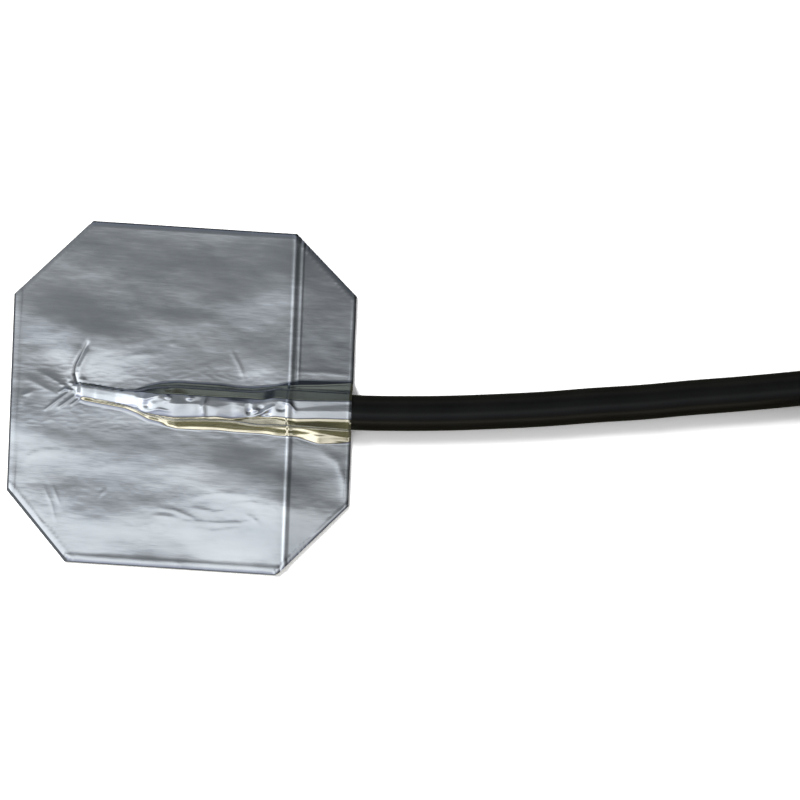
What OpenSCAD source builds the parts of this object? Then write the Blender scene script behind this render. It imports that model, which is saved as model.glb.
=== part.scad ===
// Stick-on foil temperature sensor with a four-core cable
// Millimetres. The origin is the middle of the patch's underside, +X points to where
// the cable leaves and +Z up, away from the surface that the patch is stuck to.

/* [Foil patch] */
// Length of each foil, along the cable
foil_len = 49.4; // [46:0.1:56]
// Width of each foil, across the cable
foil_wid = 49.5; // [44:0.1:60]
// Nominal leg of the four cut corners
corner_cut = 10; // [5:0.5:12]
// Lean of the hand-cut side edges, in degrees
edge_skew = 1.45; // [0:0.05:3]
// How far the lower foil stands out at the left
underlap_x = 0.6; // [0:0.1:1.5]
// How far the lower foil stands out at the bottom
underlap_y = 0.5; // [0:0.1:1.5]
// Thickness of the cover foil
cover_t = 0.08; // [0.05:0.01:0.15]
// Thickness of the base foil
base_t = 0.1; // [0.05:0.01:0.2]
// Thickness of the adhesive between the foils
bond_t = 0.05; // [0.03:0.01:0.1]
// Thickness of the contact adhesive under the base foil
contact_t = 0.05; // [0.03:0.01:0.1]
// Thickness of the release liner
liner_t = 0.12; // [0.08:0.01:0.2]
// Place of the liner's split along X
split_x = 15.9; // [8:0.1:18]
// Width of the liner's split
split_gap = 0.1; // [0.05:0.05:0.3]
// Height of the crease that the split raises in the cover foil
crease_h = 0.14; // [0.05:0.01:0.3]
// Half width of that crease
crease_w = 0.35; // [0.2:0.05:0.6]
// Clearance of the cover foil over what it drapes
drape_ease = 0.05; // [0.03:0.01:0.15]
// How far the drape's feet spread past its round over the element
chip_spread = 0.45; // [0.35:0.05:0.7]
// The same at the shrink tube's mouth
mouth_spread = 0.95; // [0.8:0.05:1.2]
// The same on the upper side of the shrink tube and the cable
up_spread = 1; // [0.8:0.05:1.3]
// The same on their lower side, where the foil was pressed down last
low_spread = 1.35; // [1.1:0.05:1.8]
// The same on the upper side at the foil's edge
exit_up = 1.3; // [1:0.05:1.8]
// The same on the lower side at the foil's edge
exit_low = 2.6; // [1.8:0.1:3]
// Run of the drape from the flat foil up onto the element
tip_run = 2.2; // [1.8:0.1:2.6]

/* [Sensing element] */
// Place of the chip's front edge along X
tip_x = -15.1; // [-18:0.1:-12]
// Place of the chip's front edge along Y
tip_y = 0.6; // [-2:0.1:2]
// Length of the chip
chip_len = 4; // [3:0.1:5]
// Width of the chip
chip_wid = 1.25; // [1.2:0.05:1.6]
// Thickness of the chip's alumina
chip_t = 0.5; // [0.4:0.05:0.65]
// Height of the glass drop that holds the leads
drop_h = 0.4; // [0.35:0.05:0.5]
// Diameter of a lead wire
lead_d = 0.25; // [0.15:0.05:0.3]
// Distance between the two leads
lead_pitch = 0.7; // [0.66:0.02:0.8]
// Outside diameter of a lead's sleeve
sleeve_d = 0.6; // [0.5:0.02:0.64]

/* [Splices] */
// Place of the shrink tube's mouth, where the leads go in
mouth_x = -5.3; // [-7:0.1:-4]
// Length over which the shrink tube widens from its mouth
mouth_len = 3.5; // [2:0.1:4]
// Wall of the shrink tube
shrink_wall = 0.5; // [0.3:0.05:0.8]
// Place of the splices' left ends
splice_x = -1; // [-1.5:0.1:0]
// Length of a splice barrel
splice_len = 5; // [4:0.1:6]
// Outside diameter of a splice barrel
splice_d = 1.3; // [1.2:0.05:1.4]
// How deep each wire goes into a splice barrel
splice_seat = 2.4; // [1.5:0.1:2.8]
// Place where the cores' insulation is stripped
strip_x = 6.5; // [6:0.1:8]

/* [Cable] */
// Outside diameter of the cable
cable_d = 5.1; // [4.4:0.1:6]
// Place of the jacket's cut end, under the foil
jacket_x = 13.6; // [12.5:0.1:15]
// Place of the cable's axis along Y, under the foil
cable_y = -0.5; // [-2:0.1:2]
// Gap between the shrink tube and the jacket's cut end
shrink_gap = 0.5; // [0.2:0.1:1]
// Diameter of an insulated core
core_d = 1.2; // [1:0.05:1.4]
// Diameter of a core's conductor
conductor_d = 0.5; // [0.4:0.05:0.55]

/* [Coil] */
// Radius of the coil's innermost turn
coil_in_r = 20.6; // [20:0.2:24]
// Turns in each layer of the coil
layer_turns = 2.55; // [2:0.05:3]
// Layers of the coil
layers = 3; // [2:1:4]
// Width of the tie's strap
strap_w = 2.5; // [2:0.1:4.8]
// Thickness of the tie's strap
strap_t = 0.8; // [0.6:0.1:1.2]

/* [Far end] */
// Length of a ferrule's metal barrel
ferrule_len = 7; // [6:0.5:10]
// Wall of a ferrule's metal barrel
ferrule_wall = 0.15; // [0.1:0.05:0.2]
// Length of a ferrule's collar
collar_len = 5; // [4:0.5:6]
// Outside diameter of a ferrule's collar
collar_d = 2; // [1.8:0.1:2.4]

/* [Hidden] */
$fn = 48;

// Levels of the layers, from the surface up
contact_z = liner_t;
base_z = contact_z + contact_t;
base_top = base_z + base_t;
flat_z = base_top + bond_t;
chip_top = base_top + chip_t;
axis_z = base_top + cable_d / 2;

// The foils are laid askew by the underlap, half of it on each side of the origin
cover_at = [underlap_x, underlap_y] / 2;
base_at = -cover_at;
// Both foils were cut together by hand: each corner's legs, as more or less than nominal,
// clockwise from the upper left
corner_legs = [for (d = [[0.6, 0.9], [-0.9, -1.4], [-0.3, 0.3], [-1.1, -0.1]])
    [corner_cut + d[0], corner_cut + d[1]]];
lean = tan(edge_skew);

function mix(a, b, t) = a + (b - a) * t;
function clamp(t) = min(1, max(0, t));
function smooth(t) = let (u = clamp(t)) u * u * (3 - 2 * u);

// The highest and lowest point of a foil at a place along X, from its own middle
function foil_top(s) = foil_wid / 2
    - corner_legs[0][1] * max(0, 1 - (s + foil_len / 2) / corner_legs[0][0])
    - corner_legs[1][1] * max(0, 1 - (foil_len / 2 - s) / corner_legs[1][0]);
function foil_bottom(s) = -foil_wid / 2
    + corner_legs[3][1] * max(0, 1 - (s + foil_len / 2) / corner_legs[3][0])
    + corner_legs[2][1] * max(0, 1 - (foil_len / 2 - s) / corner_legs[2][0]);
function skewed(p) = [p[0] - p[1] * lean, p[1]];

// Where a foil's outline turns, along X
function turns_top() = [corner_legs[0][0] - foil_len / 2, foil_len / 2 - corner_legs[1][0]];
function turns_bottom() = [corner_legs[3][0] - foil_len / 2, foil_len / 2 - corner_legs[2][0]];
function foil_outline(at) = let (
        along_top = [-foil_len / 2, turns_top()[0], turns_top()[1], foil_len / 2],
        along_bottom = [foil_len / 2, turns_bottom()[1], turns_bottom()[0], -foil_len / 2])
    concat(
        [for (s = along_top) skewed([s + at[0], foil_top(s) + at[1]])],
        [for (s = along_bottom) skewed([s + at[0], foil_bottom(s) + at[1]])]);

// The inner line of pieces: the chip and its leads lie askew, the rest lies along the cable
lead_yaw = atan2(cable_y - tip_y, mouth_x - tip_x);
function line_y(s) = s < mouth_x ? tip_y + (s - tip_x) * tan(lead_yaw) : cable_y;
function by_chip(along, across) = [
    tip_x + along * cos(lead_yaw) - across * sin(lead_yaw),
    tip_y + along * sin(lead_yaw) + across * cos(lead_yaw)];

// The four cores lie two by two, and the shrink tube fits round them
core_off = core_d / 2;
bundle_r = core_off * (1 + sqrt(2));
shrink_r = bundle_r + shrink_wall;
shrink_x = jacket_x - shrink_gap;
mouth_r = lead_pitch / 2 + sleeve_d / 2;
// The splice barrels lie side by side inside it
splice_gap = 0.1;
splice_off = (splice_d + splice_gap) / 2;
splice_end = splice_x + splice_len;
SIDES = [[1, 1], [-1, 1], [1, -1], [-1, -1]];

// The drape of the cover foil over that line, as one row for each place along X where it
// changes: the place, the height of its crest over the flat foil, the radius of its crest,
// and how far its upper and its lower foot spread past that radius
chip_round = chip_wid * 0.8;
tip_ease = 0.4;
step_run = 1.6;
step_ease = 0.2;
chip_crest = chip_t + drop_h - bond_t + 0.3;
mouth_round = mouth_r + shrink_wall + drape_ease;
shrink_round = shrink_r + drape_ease;
cable_round = cable_d / 2 + drape_ease;
axis_h = axis_z - flat_z;
DRAPE = [
    [tip_x - tip_run, 0, chip_round, chip_spread, chip_spread],
    [tip_x - tip_ease, chip_crest, chip_round, chip_spread, chip_spread],
    [tip_x + chip_len, chip_crest, chip_round, chip_spread, chip_spread],
    [mouth_x - tip_ease, axis_h + mouth_round, mouth_round, mouth_spread, mouth_spread],
    [mouth_x + mouth_len, axis_h + shrink_round, shrink_round, up_spread, low_spread],
    [jacket_x - step_run, axis_h + shrink_round, shrink_round, up_spread, low_spread],
    [jacket_x - step_ease, axis_h + cable_round, cable_round, up_spread, low_spread],
    [foil_len / 2 + cover_at[0], axis_h + cable_round, cable_round, exit_up, exit_low],
];
function drape_row(s, i = 0) =
    i == len(DRAPE) - 2 || s < DRAPE[i + 1][0] ? i : drape_row(s, i + 1);
function drape_value(s, k) = let (
        i = drape_row(s),
        t = smooth((s - DRAPE[i][0]) / (DRAPE[i + 1][0] - DRAPE[i][0])))
    mix(DRAPE[i][k], DRAPE[i + 1][k], t);
function foot_up(s) = drape_value(s, 2) + drape_value(s, 3);
function foot_low(s) = drape_value(s, 2) + drape_value(s, 4);

// Puckers that the hand pressed into the drape: place along X, place from foot (-1) to
// foot (1), half length, half width and height
PUCKERS = [
    [-16.2, 0.5, 0.6, 0.5, 0.22], [-3.6, 0.2, 0.9, 0.3, 0.3], [-1.4, -0.15, 0.7, 0.3, 0.32],
    [1.2, 0.25, 1, 0.3, 0.26], [3.6, -0.1, 1.2, 0.35, 0.24], [7.2, 0.2, 1.1, 0.3, 0.3],
    [9.6, -0.2, 0.9, 0.3, 0.34], [12, 0.1, 0.8, 0.3, 0.28], [19, 0, 1.6, 0.3, 0.12],
];
function pucker(s, q) = [for (p = PUCKERS)
    p[4] * exp(-pow((s - p[0]) / p[2], 2) - pow((q - p[1]) / p[3], 2))] * [for (p = PUCKERS) 1];

// Height of the cover foil's underside over the flat foil, by place along X and distance
// from the line: round over the crest, then straight down to the foot
function drape(s, d) = let (
        foot = d > 0 ? foot_up(s) : foot_low(s),
        round_r = drape_value(s, 2),
        rise = drape_value(s, 1) - round_r,
        slope = atan2(rise, foot) + asin(clamp(round_r / norm([rise, foot]))),
        out = abs(d))
    out >= foot ? 0
    : out > round_r * sin(slope) ? (foot - out) * tan(slope)
    : rise + sqrt(round_r * round_r - out * out);
function crease(s) = crease_h * clamp(1 - abs(s - split_x) / crease_w);
function under_z(s, d) = let (foot = d > 0 ? foot_up(s) : foot_low(s))
    flat_z + drape(s, d) + crease(s) + (abs(d) < foot ? pucker(s, d / foot) : 0);
// The foil keeps its thickness on a slope
probe = 0.02;
function over_z(s, d) = let (
        along = (under_z(s + probe, d) - under_z(s - probe, d)) / (2 * probe),
        across = (under_z(s, d + probe) - under_z(s, d - probe)) / (2 * probe))
    under_z(s, d) + cover_t * min(3.5, norm([1, along, across]));

// Stations of the cover foil along X, in order and at least a gap apart
station_gap = 0.12;
station_step = 0.95;
edge_step = 2.4;
function sorted(list) = len(list) < 2 ? list : let (pivot = list[floor(len(list) / 2)])
    concat(sorted([for (v = list) if (v < pivot) v]), [for (v = list) if (v == pivot) v],
        sorted([for (v = list) if (v > pivot) v]));
foil_left = cover_at[0] - foil_len / 2;
foil_right = cover_at[0] + foil_len / 2;
all_stations = sorted(concat(
    [foil_right], [for (k = [0:2]) foil_left + k * edge_step],
    [for (s = concat(turns_top(), turns_bottom())) s + cover_at[0]],
    [for (k = [-1:1]) split_x + k * crease_w],
    [for (s = [DRAPE[0][0]:station_step:foil_right - station_step / 2]) s]));
stations = [for (i = [0:len(all_stations) - 1])
    if (i == 0 || all_stations[i] - all_stations[i - 1] > station_gap) all_stations[i]];

// Columns of the cover foil across the line: edge to foot, over the drape, foot to edge
flat_cols = 5;
drape_cols = 20;
cols = drape_cols + 2 * flat_cols;
function col_y(s, j) = let (
        mid = line_y(s), up = foot_up(s), down = foot_low(s),
        top = foil_top(s - cover_at[0]) + cover_at[1],
        bottom = foil_bottom(s - cover_at[0]) + cover_at[1],
        q = 1 - 2 * (j - flat_cols) / drape_cols)
    j < flat_cols ? mix(top, mid + up, j / flat_cols)
    : j > flat_cols + drape_cols ? mix(bottom, mid - down, (cols - j) / flat_cols)
    : mid + q * (q > 0 ? up : down);

// The cable's route: out of the foil, down to the surface and over to the coil. It joins
// the coil's outermost turn at coil_entry degrees before the turn's top.
coil_at = [130.4, -17.6];
coil_entry = 20;
turn_pitch = cable_d + 0.1;
coil_out_r = coil_in_r + layer_turns * turn_pitch;
ring_in = coil_in_r - turn_pitch / 2;
ring_out = coil_out_r + turn_pitch / 2;
ring_h = layers * cable_d;
floor_z = cable_d / 2;
coil_tail = 10;
// A point of the coil, by its angle clockwise from the top, its radius and its height
function by_coil(a, r, z) = [coil_at[0] + r * sin(a), coil_at[1] + r * cos(a), z];
ROUTE = [
    [jacket_x, cable_y, axis_z], [foil_right, cable_y, axis_z],
    [32, cable_y + 0.3, mix(axis_z, floor_z, 0.5)], [39, 0.3, floor_z], [46, 1, floor_z],
    [53, 1.8, floor_z], [60, 2.8, floor_z], [67, 3.7, floor_z], [74, 4.8, floor_z],
    [81, 5.8, floor_z], [88, 6.9, floor_z], [95, 8.1, floor_z], [102, 9.5, floor_z],
    [109, 11.2, floor_z], by_coil(-coil_entry, coil_out_r, floor_z),
    by_coil(coil_tail - coil_entry, coil_out_r, floor_z),
];

// The far end: the jacket ends on the top layer's innermost turn, and the cores fan out
// from there into the middle of the coil, down to the surface
far_a = 77.6;
far_sweep = 130;
far_rings = 12;
far_end_r = [11.8, 9.5, 7.2, 4.9];
far_stub = 1;
collar_z = collar_d / 2;
function far_point(k, t) = by_coil(far_a + far_sweep * t,
    mix(coil_in_r + (k < 2 ? core_off : -core_off), far_end_r[k], 1 - (1 - t) * (1 - t)),
    mix(ring_h - cable_d / 2 + (k % 2 == 0 ? -core_off : core_off), collar_z,
        smooth((t - 0.2) / 0.8)));
// Each core ends level, with a short straight stub up to its ferrule's collar
function far_heading(k) = let (d = far_point(k, 1) - far_point(k, 1 - 1 / far_rings))
    atan2(d[1], d[0]);
function far_end(k) = let (a = far_heading(k)) far_point(k, 1) + far_stub * [cos(a), sin(a), 0];

cable_sides = 12;
wire_sides = 8;
// Sweeps a round section along a route, with a ring square across each bend
function unit(v) = v / norm(v);
function leg(route, i) = unit(route[i + 1] - route[i]);
function tangent(route, i) = let (last = len(route) - 1)
    i == 0 ? leg(route, 0) : i == last ? leg(route, last - 1)
    : unit(leg(route, i - 1) + leg(route, i));
function ring_points(route, i, d, sides) = let (
        t = tangent(route, i), side = unit(cross(t, [0, 0, 1])), up = cross(side, t))
    [for (j = [0:sides - 1]) let (a = 360 * j / sides)
        route[i] + d / 2 * (side * cos(a) + up * sin(a))];
function swept_points(route, d, sides) =
    [for (i = [0:len(route) - 1]) each ring_points(route, i, d, sides)];
// The two triangles between ring corners a, b and the same corners of the next ring
function panel(a, b, next_a, next_b) = [[a, b, next_a], [b, next_b, next_a]];
function swept_wall(n, sides) = [for (i = [0:n - 2]) for (j = [0:sides - 1])
    let (a = i * sides + j, b = i * sides + (j + 1) % sides)
    each panel(a, b, a + sides, b + sides)];
module swept(route, d, sides) {
    n = len(route);
    first = [for (j = [1:sides - 2]) [0, j + 1, j]];
    last = [for (j = [1:sides - 2]) let (o = (n - 1) * sides) [o, o + j, o + j + 1]];
    polyhedron(swept_points(route, d, sides), concat(swept_wall(n, sides), first, last));
}

// A swept tube: the bore's rings follow the outer ones in the list of points
module swept_tube(route, d, bore, sides) {
    n = len(route);
    inner = n * sides;
    bore_wall = [for (f = swept_wall(n, sides)) [inner + f[0], inner + f[2], inner + f[1]]];
    ends = [for (j = [0:sides - 1]) let (b = (j + 1) % sides, o = (n - 1) * sides)
        each concat(panel(b, j, inner + b, inner + j),
            panel(o + j, o + b, inner + o + j, inner + o + b))];
    polyhedron(concat(swept_points(route, d, sides), swept_points(route, bore, sides)),
        concat(swept_wall(n, sides), bore_wall, ends));
}
module along_x(x0, x1, d) {
    translate([x0, 0, 0]) rotate([0, 90, 0]) cylinder(h = x1 - x0, d = d);
}
module on_axis() {
    translate([0, cable_y, axis_z]) children();
}
module on_chip() {
    translate([tip_x, tip_y, 0]) rotate([0, 0, lead_yaw]) children();
}
module sheet(z, t, at = base_at) {
    translate([0, 0, z]) linear_extrude(t) polygon(foil_outline(at));
}

// The release liner, slit across so that its narrow strip can be peeled first
module liner_side(from, to) {
    color("ivory")
        intersection() {
            sheet(0, liner_t);
            translate([0, 0, -1])
                linear_extrude(liner_t + 2)
                    polygon([for (p = [[from, -foil_wid], [to, -foil_wid], [to, foil_wid],
                        [from, foil_wid]]) skewed(p)]);
        }
}
module liner_main() { liner_side(-foil_len, split_x - split_gap / 2); }
module liner_strip() { liner_side(split_x + split_gap / 2, foil_len); }
module contact_film() {
    color("lightgray") sheet(contact_z, contact_t);
}
module base_foil() {
    color("silver") sheet(base_z, base_t);
}

// The adhesive holds the foils together wherever the cover lies flat
module bond_film() {
    at = [for (s = stations) if (s >= DRAPE[0][0] && s < foil_right) s];
    open = foil_right + 2;
    upper = [for (s = at) skewed([s, line_y(s) + foot_up(s)])];
    lower = [for (i = [len(at) - 1:-1:0]) skewed([at[i], line_y(at[i]) - foot_low(at[i])])];
    color("gainsboro")
        translate([0, 0, base_top])
            linear_extrude(bond_t)
                difference() {
                    intersection() {
                        polygon(foil_outline(base_at));
                        polygon(foil_outline(cover_at));
                    }
                    polygon(concat(upper,
                        [skewed([open, cable_y + foot_up(foil_right)]),
                            skewed([open, cable_y - foot_low(foil_right)])], lower));
                }
}

// The cover foil, draped over the chip, the leads, the shrink tube and the cable
module cover_foil() {
    n = len(stations);
    row = cols + 1;
    grid = [for (s = stations) for (j = [0:cols]) let (y = col_y(s, j), d = y - line_y(s))
        [s - y * lean, y, under_z(s, d), over_z(s, d)]];
    points = concat([for (g = grid) [g[0], g[1], g[2]]], [for (g = grid) [g[0], g[1], g[3]]]);
    up = n * row;
    sheets = [for (i = [0:n - 2]) for (j = [0:cols - 1]) let (a = i * row + j, b = a + row)
        each [[a, a + 1, b], [a + 1, b + 1, b],
            [up + a, up + b, up + a + 1], [up + a + 1, up + b, up + b + 1]]];
    ends = [for (j = [0:cols - 1]) let (b = (n - 1) * row + j)
        each [[j, up + j, j + 1], [j + 1, up + j, up + j + 1],
            [b, b + 1, up + b], [b + 1, up + b + 1, up + b]]];
    rims = [for (i = [0:n - 2]) let (a = i * row, c = a + cols)
        each [[a, a + row, up + a], [a + row, up + a + row, up + a],
            [c, up + c, c + row], [c + row, up + c, up + c + row]]];
    color("lightsteelblue") polyhedron(points, concat(sheets, ends, rims));
}

// The chip, with its platinum track under glass and its leads under a glass drop
drop_len = chip_len * 0.35;
glass_t = 0.06;
track_t = 0.02;
track_lines = 6;
track_edge = 0.12;
track_pitch = (chip_wid - 2 * track_edge) / (track_lines - 0.5);
track_line = track_pitch / 2;
track_len = chip_len - drop_len - 2 * track_edge;
module chip_substrate() {
    color("white")
        on_chip()
            translate([0, -chip_wid / 2, base_top]) cube([chip_len, chip_wid, chip_t]);
}
module track_shape() {
    for (i = [0:track_lines - 1]) {
        y = track_edge - chip_wid / 2 + i * track_pitch;
        translate([track_edge, y]) square([track_len, track_line]);
        if (i < track_lines - 1)
            translate([i % 2 == 0 ? track_edge : track_edge + track_len - track_line, y])
                square([track_line, track_pitch + track_line]);
    }
}
module chip_track() {
    color("dimgray")
        on_chip()
            translate([0, 0, chip_top]) linear_extrude(track_t) track_shape();
}
module chip_glass() {
    color("skyblue")
        on_chip()
            translate([0, 0, chip_top])
                difference() {
                    translate([0, -chip_wid / 2, 0])
                        cube([chip_len - drop_len, chip_wid, glass_t]);
                    translate([0, 0, -track_t]) linear_extrude(2 * track_t) track_shape();
                }
}
module lead_glass() {
    drop_r = (drop_len * drop_len / 4 + drop_h * drop_h) / (2 * drop_h);
    color("lightcyan")
        on_chip()
            difference() {
                intersection() {
                    translate([chip_len - drop_len, -chip_wid / 2, chip_top])
                        cube([drop_len, chip_wid, drop_h]);
                    translate([chip_len - drop_len / 2, 0, chip_top + drop_h - drop_r])
                        rotate([90, 0, 0])
                            cylinder(h = chip_wid + 2, r = drop_r, center = true);
                }
                for (side = [-1, 1])
                    translate([0, side * lead_pitch / 2, lead_z])
                        along_x(chip_len - lead_seat, chip_len + 1, lead_d);
            }
}

// A lead runs from the chip, up to the shrink tube's mouth and into its splice
lead_seat = 0.9;
lead_rise = 0.5;
pad_t = 0.04;
lead_z = chip_top + pad_t + lead_d / 2;
function lead_points(side) = let (
        z = lead_z,
        pad = by_chip(chip_len - lead_seat, side * lead_pitch / 2),
        bend = by_chip(chip_len + lead_rise, side * lead_pitch / 2))
    [[pad[0], pad[1], z], [bend[0], bend[1], z],
        [mouth_x, cable_y + side * lead_pitch / 2, axis_z],
        [splice_x - 0.6, cable_y + side * splice_off, axis_z],
        [splice_x + splice_seat, cable_y + side * splice_off, axis_z]];
module lead(side) {
    color("gainsboro") swept(lead_points(side), lead_d, wire_sides);
}
module lead_left() { lead(1); }
module lead_right() { lead(-1); }
module lead_sleeve(side) {
    p = lead_points(side);
    color("seashell")
        swept_tube([mix(p[1], p[2], 0.12), p[2], mix(p[2], p[3], 0.9)],
            sleeve_d, lead_d, wire_sides);
}
module lead_sleeve_left() { lead_sleeve(1); }
module lead_sleeve_right() { lead_sleeve(-1); }

// A splice barrel takes one lead at its left end and two conductors, one on the other, at
// its right
module splice(side) {
    color("goldenrod")
        on_axis()
            translate([0, side * splice_off, 0])
                difference() {
                    along_x(splice_x, splice_end, splice_d);
                    along_x(splice_x - 1, splice_x + splice_seat, lead_d);
                    along_x(splice_end - splice_seat, splice_end + 1, 2 * conductor_d);
                }
}
module splice_left() { splice(1); }
module splice_right() { splice(-1); }

// A core is bared at strip_x, and its conductor bends into the splice of its side
module core(k) {
    color(["red", "firebrick", "white", "snow"][k])
        on_axis()
            translate([0, SIDES[k][0] * core_off, SIDES[k][1] * core_off])
                difference() {
                    along_x(strip_x, jacket_x, core_d);
                    along_x(strip_x - 1, jacket_x + 1, conductor_d);
                }
}
module core_1() { core(0); }
module core_2() { core(1); }
module core_3() { core(2); }
module core_4() { core(3); }
module conductor(k) {
    y = SIDES[k][0];
    z = SIDES[k][1];
    color("chocolate")
        on_axis()
            swept([[jacket_x, y * core_off, z * core_off],
                [strip_x - 0.3, y * core_off, z * core_off],
                [splice_end + 0.3, y * splice_off, z * conductor_d / 2],
                [splice_end - splice_seat, y * splice_off, z * conductor_d / 2]],
                conductor_d, wire_sides);
}
module conductor_1() { conductor(0); }
module conductor_2() { conductor(1); }
module conductor_3() { conductor(2); }
module conductor_4() { conductor(3); }

// The heat-shrink tube, shrunk tight round the sleeves at its mouth and round the cores
module shrink_tube() {
    wide_x = mouth_x + mouth_len;
    inside = [[mouth_r, mouth_x], [bundle_r, wide_x], [bundle_r, shrink_x]];
    outside = [for (i = [2:-1:0]) [inside[i][0] + shrink_wall, inside[i][1]]];
    color("darkslategray")
        on_axis()
            rotate([0, 90, 0]) rotate_extrude() polygon(concat(inside, outside));
}

// The free cable, up to where it runs into the coil
module cable() {
    color("black")
        difference() {
            swept(ROUTE, cable_d, cable_sides);
            translate([coil_at[0], coil_at[1], -1]) cylinder(h = ring_h + 2, r = ring_out, $fn = 96);
        }
}

// The coil's outer shape, with the groove that the tie presses into it
module round_square(at, size, r) {
    translate([at[0] + r, at[1]]) square([size[0] - 2 * r, size[1]]);
    translate([at[0], at[1] + r]) square([size[0], size[1] - 2 * r]);
    for (x = [r, size[0] - r], y = [r, size[1] - r])
        translate([at[0] + x, at[1] + y]) circle(r = r);
}
module coil_ring() {
    translate([coil_at[0], coil_at[1], 0])
        rotate_extrude($fn = 96)
            round_square([ring_in, 0], [ring_out - ring_in, ring_h], cable_d / 2);
}
module cable_coil() {
    color("black")
        difference() {
            coil_ring();
            at_tie(strap_w)
                difference() {
                    translate([ring_in - 1, -1]) square([ring_out - ring_in + 2, ring_h + 2]);
                    strap_inside();
                }
        }
}

// The cable tie: a toothed strap round the bundle of turns, its head on top with the pawl's
// window, and the tail that has been pulled through it and cut
tie_a = 52;
head_w = 4.4;
head_l = 4.8;
head_h = 2.6;
head_slope = 0.9;
window_l = 1.6;
window_w = 2;
window_depth = 0.7;
tail_l = 5;
tail_lift = 0.2;
tooth_pitch = 0.6;
tooth_h = 0.12;
tooth_w = 1.6;
tie_ease = 0.05;
// An outline across the bundle, by distance from the coil's middle and height, given a width
module at_tie(wide) {
    translate([coil_at[0], coil_at[1], 0])
        rotate([0, 0, 90 - tie_a])
            rotate([90, 0, 0])
                translate([0, 0, -wide / 2]) linear_extrude(wide) children();
}
module strap_inside() {
    round_square([ring_in - tie_ease, strap_t],
        [ring_out - ring_in + 2 * tie_ease, ring_h + tie_ease - strap_t], cable_d / 2);
}
module strap_outline() {
    difference() {
        round_square([ring_in - tie_ease - strap_t, 0],
            [ring_out - ring_in + 2 * (tie_ease + strap_t), ring_h + tie_ease + strap_t],
            cable_d / 2 + strap_t);
        strap_inside();
    }
}
module tie_shape() {
    top_z = ring_h + tie_ease;
    head_x = (ring_in + ring_out - head_l) / 2;
    tail_x = head_x + head_l;
    tail_z = top_z + strap_t + tail_lift;
    at_tie(strap_w) strap_outline();
    difference() {
        at_tie(head_w)
            translate([head_x, top_z])
                polygon([[0, 0], [head_l, 0], [head_l, head_h - head_slope / 2],
                    [head_l - head_slope, head_h], [head_slope, head_h],
                    [0, head_h - head_slope]]);
        at_tie(window_w)
            translate([head_x + (head_l - window_l) / 2, top_z + head_h - window_depth])
                square([window_l, window_depth + 1]);
    }
    at_tie(strap_w)
        translate([tail_x - head_l / 2, tail_z]) square([tail_l + head_l / 2, strap_t]);
    at_tie(tooth_w)
        for (k = [1:floor(tail_l / tooth_pitch) - 1])
            translate([tail_x + k * tooth_pitch, tail_z + strap_t / 2])
                square([tooth_pitch / 2, strap_t / 2 + tooth_h]);
}
module coil_tie() {
    color("dimgray") tie_shape();
}

// The stripped far end: four cores with wire-end ferrules
module end_core(k) {
    color(["red", "firebrick", "white", "snow"][k])
        difference() {
            swept(concat([for (i = [0:far_rings]) far_point(k, i / far_rings)], [far_end(k)]),
                core_d, wire_sides);
            coil_ring();
        }
}
module end_core_1() { end_core(0); }
module end_core_2() { end_core(1); }
module end_core_3() { end_core(2); }
module end_core_4() { end_core(3); }
module at_ferrule(k) {
    translate(far_end(k)) rotate([0, 0, far_heading(k)]) children();
}
module ferrule(k) {
    color("silver")
        at_ferrule(k)
            difference() {
                along_x(collar_len / 2, collar_len + ferrule_len, conductor_d + 2 * ferrule_wall);
                along_x(collar_len / 2 - 1, collar_len + ferrule_len - 1, conductor_d);
            }
}
module ferrule_1() { ferrule(0); }
module ferrule_2() { ferrule(1); }
module ferrule_3() { ferrule(2); }
module ferrule_4() { ferrule(3); }
module ferrule_collar(k) {
    color("orange")
        at_ferrule(k)
            difference() {
                along_x(0, collar_len, collar_d);
                along_x(collar_len / 2, collar_len + 1, conductor_d + 2 * ferrule_wall);
            }
}
module ferrule_collar_1() { ferrule_collar(0); }
module ferrule_collar_2() { ferrule_collar(1); }
module ferrule_collar_3() { ferrule_collar(2); }
module ferrule_collar_4() { ferrule_collar(3); }

liner_main();
liner_strip();
contact_film();
base_foil();
bond_film();
cover_foil();
chip_substrate();
chip_track();
chip_glass();
lead_glass();
lead_left();
lead_right();
lead_sleeve_left();
lead_sleeve_right();
splice_left();
splice_right();
core_1();
core_2();
core_3();
core_4();
conductor_1();
conductor_2();
conductor_3();
conductor_4();
shrink_tube();
cable();
cable_coil();
coil_tie();
end_core_1();
end_core_2();
end_core_3();
end_core_4();
ferrule_1();
ferrule_2();
ferrule_3();
ferrule_4();
ferrule_collar_1();
ferrule_collar_2();
ferrule_collar_3();
ferrule_collar_4();
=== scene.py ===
import math

import bmesh
import bpy
import numpy as np
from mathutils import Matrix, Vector, noise
from mathutils.bvhtree import BVHTree


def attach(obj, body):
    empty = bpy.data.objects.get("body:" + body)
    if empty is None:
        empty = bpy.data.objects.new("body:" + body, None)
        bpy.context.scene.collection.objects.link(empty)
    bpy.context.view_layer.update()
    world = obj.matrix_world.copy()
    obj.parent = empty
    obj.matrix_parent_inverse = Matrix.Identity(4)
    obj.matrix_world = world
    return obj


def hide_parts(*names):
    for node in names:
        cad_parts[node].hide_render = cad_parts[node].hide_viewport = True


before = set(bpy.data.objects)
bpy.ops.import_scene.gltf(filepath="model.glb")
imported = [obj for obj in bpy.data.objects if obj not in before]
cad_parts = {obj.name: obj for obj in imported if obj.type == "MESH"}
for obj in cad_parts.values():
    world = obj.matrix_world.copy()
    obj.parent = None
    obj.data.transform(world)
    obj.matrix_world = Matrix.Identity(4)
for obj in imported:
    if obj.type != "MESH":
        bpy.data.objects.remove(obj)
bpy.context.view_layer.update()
MM = 0.001
scene = bpy.context.scene
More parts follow.
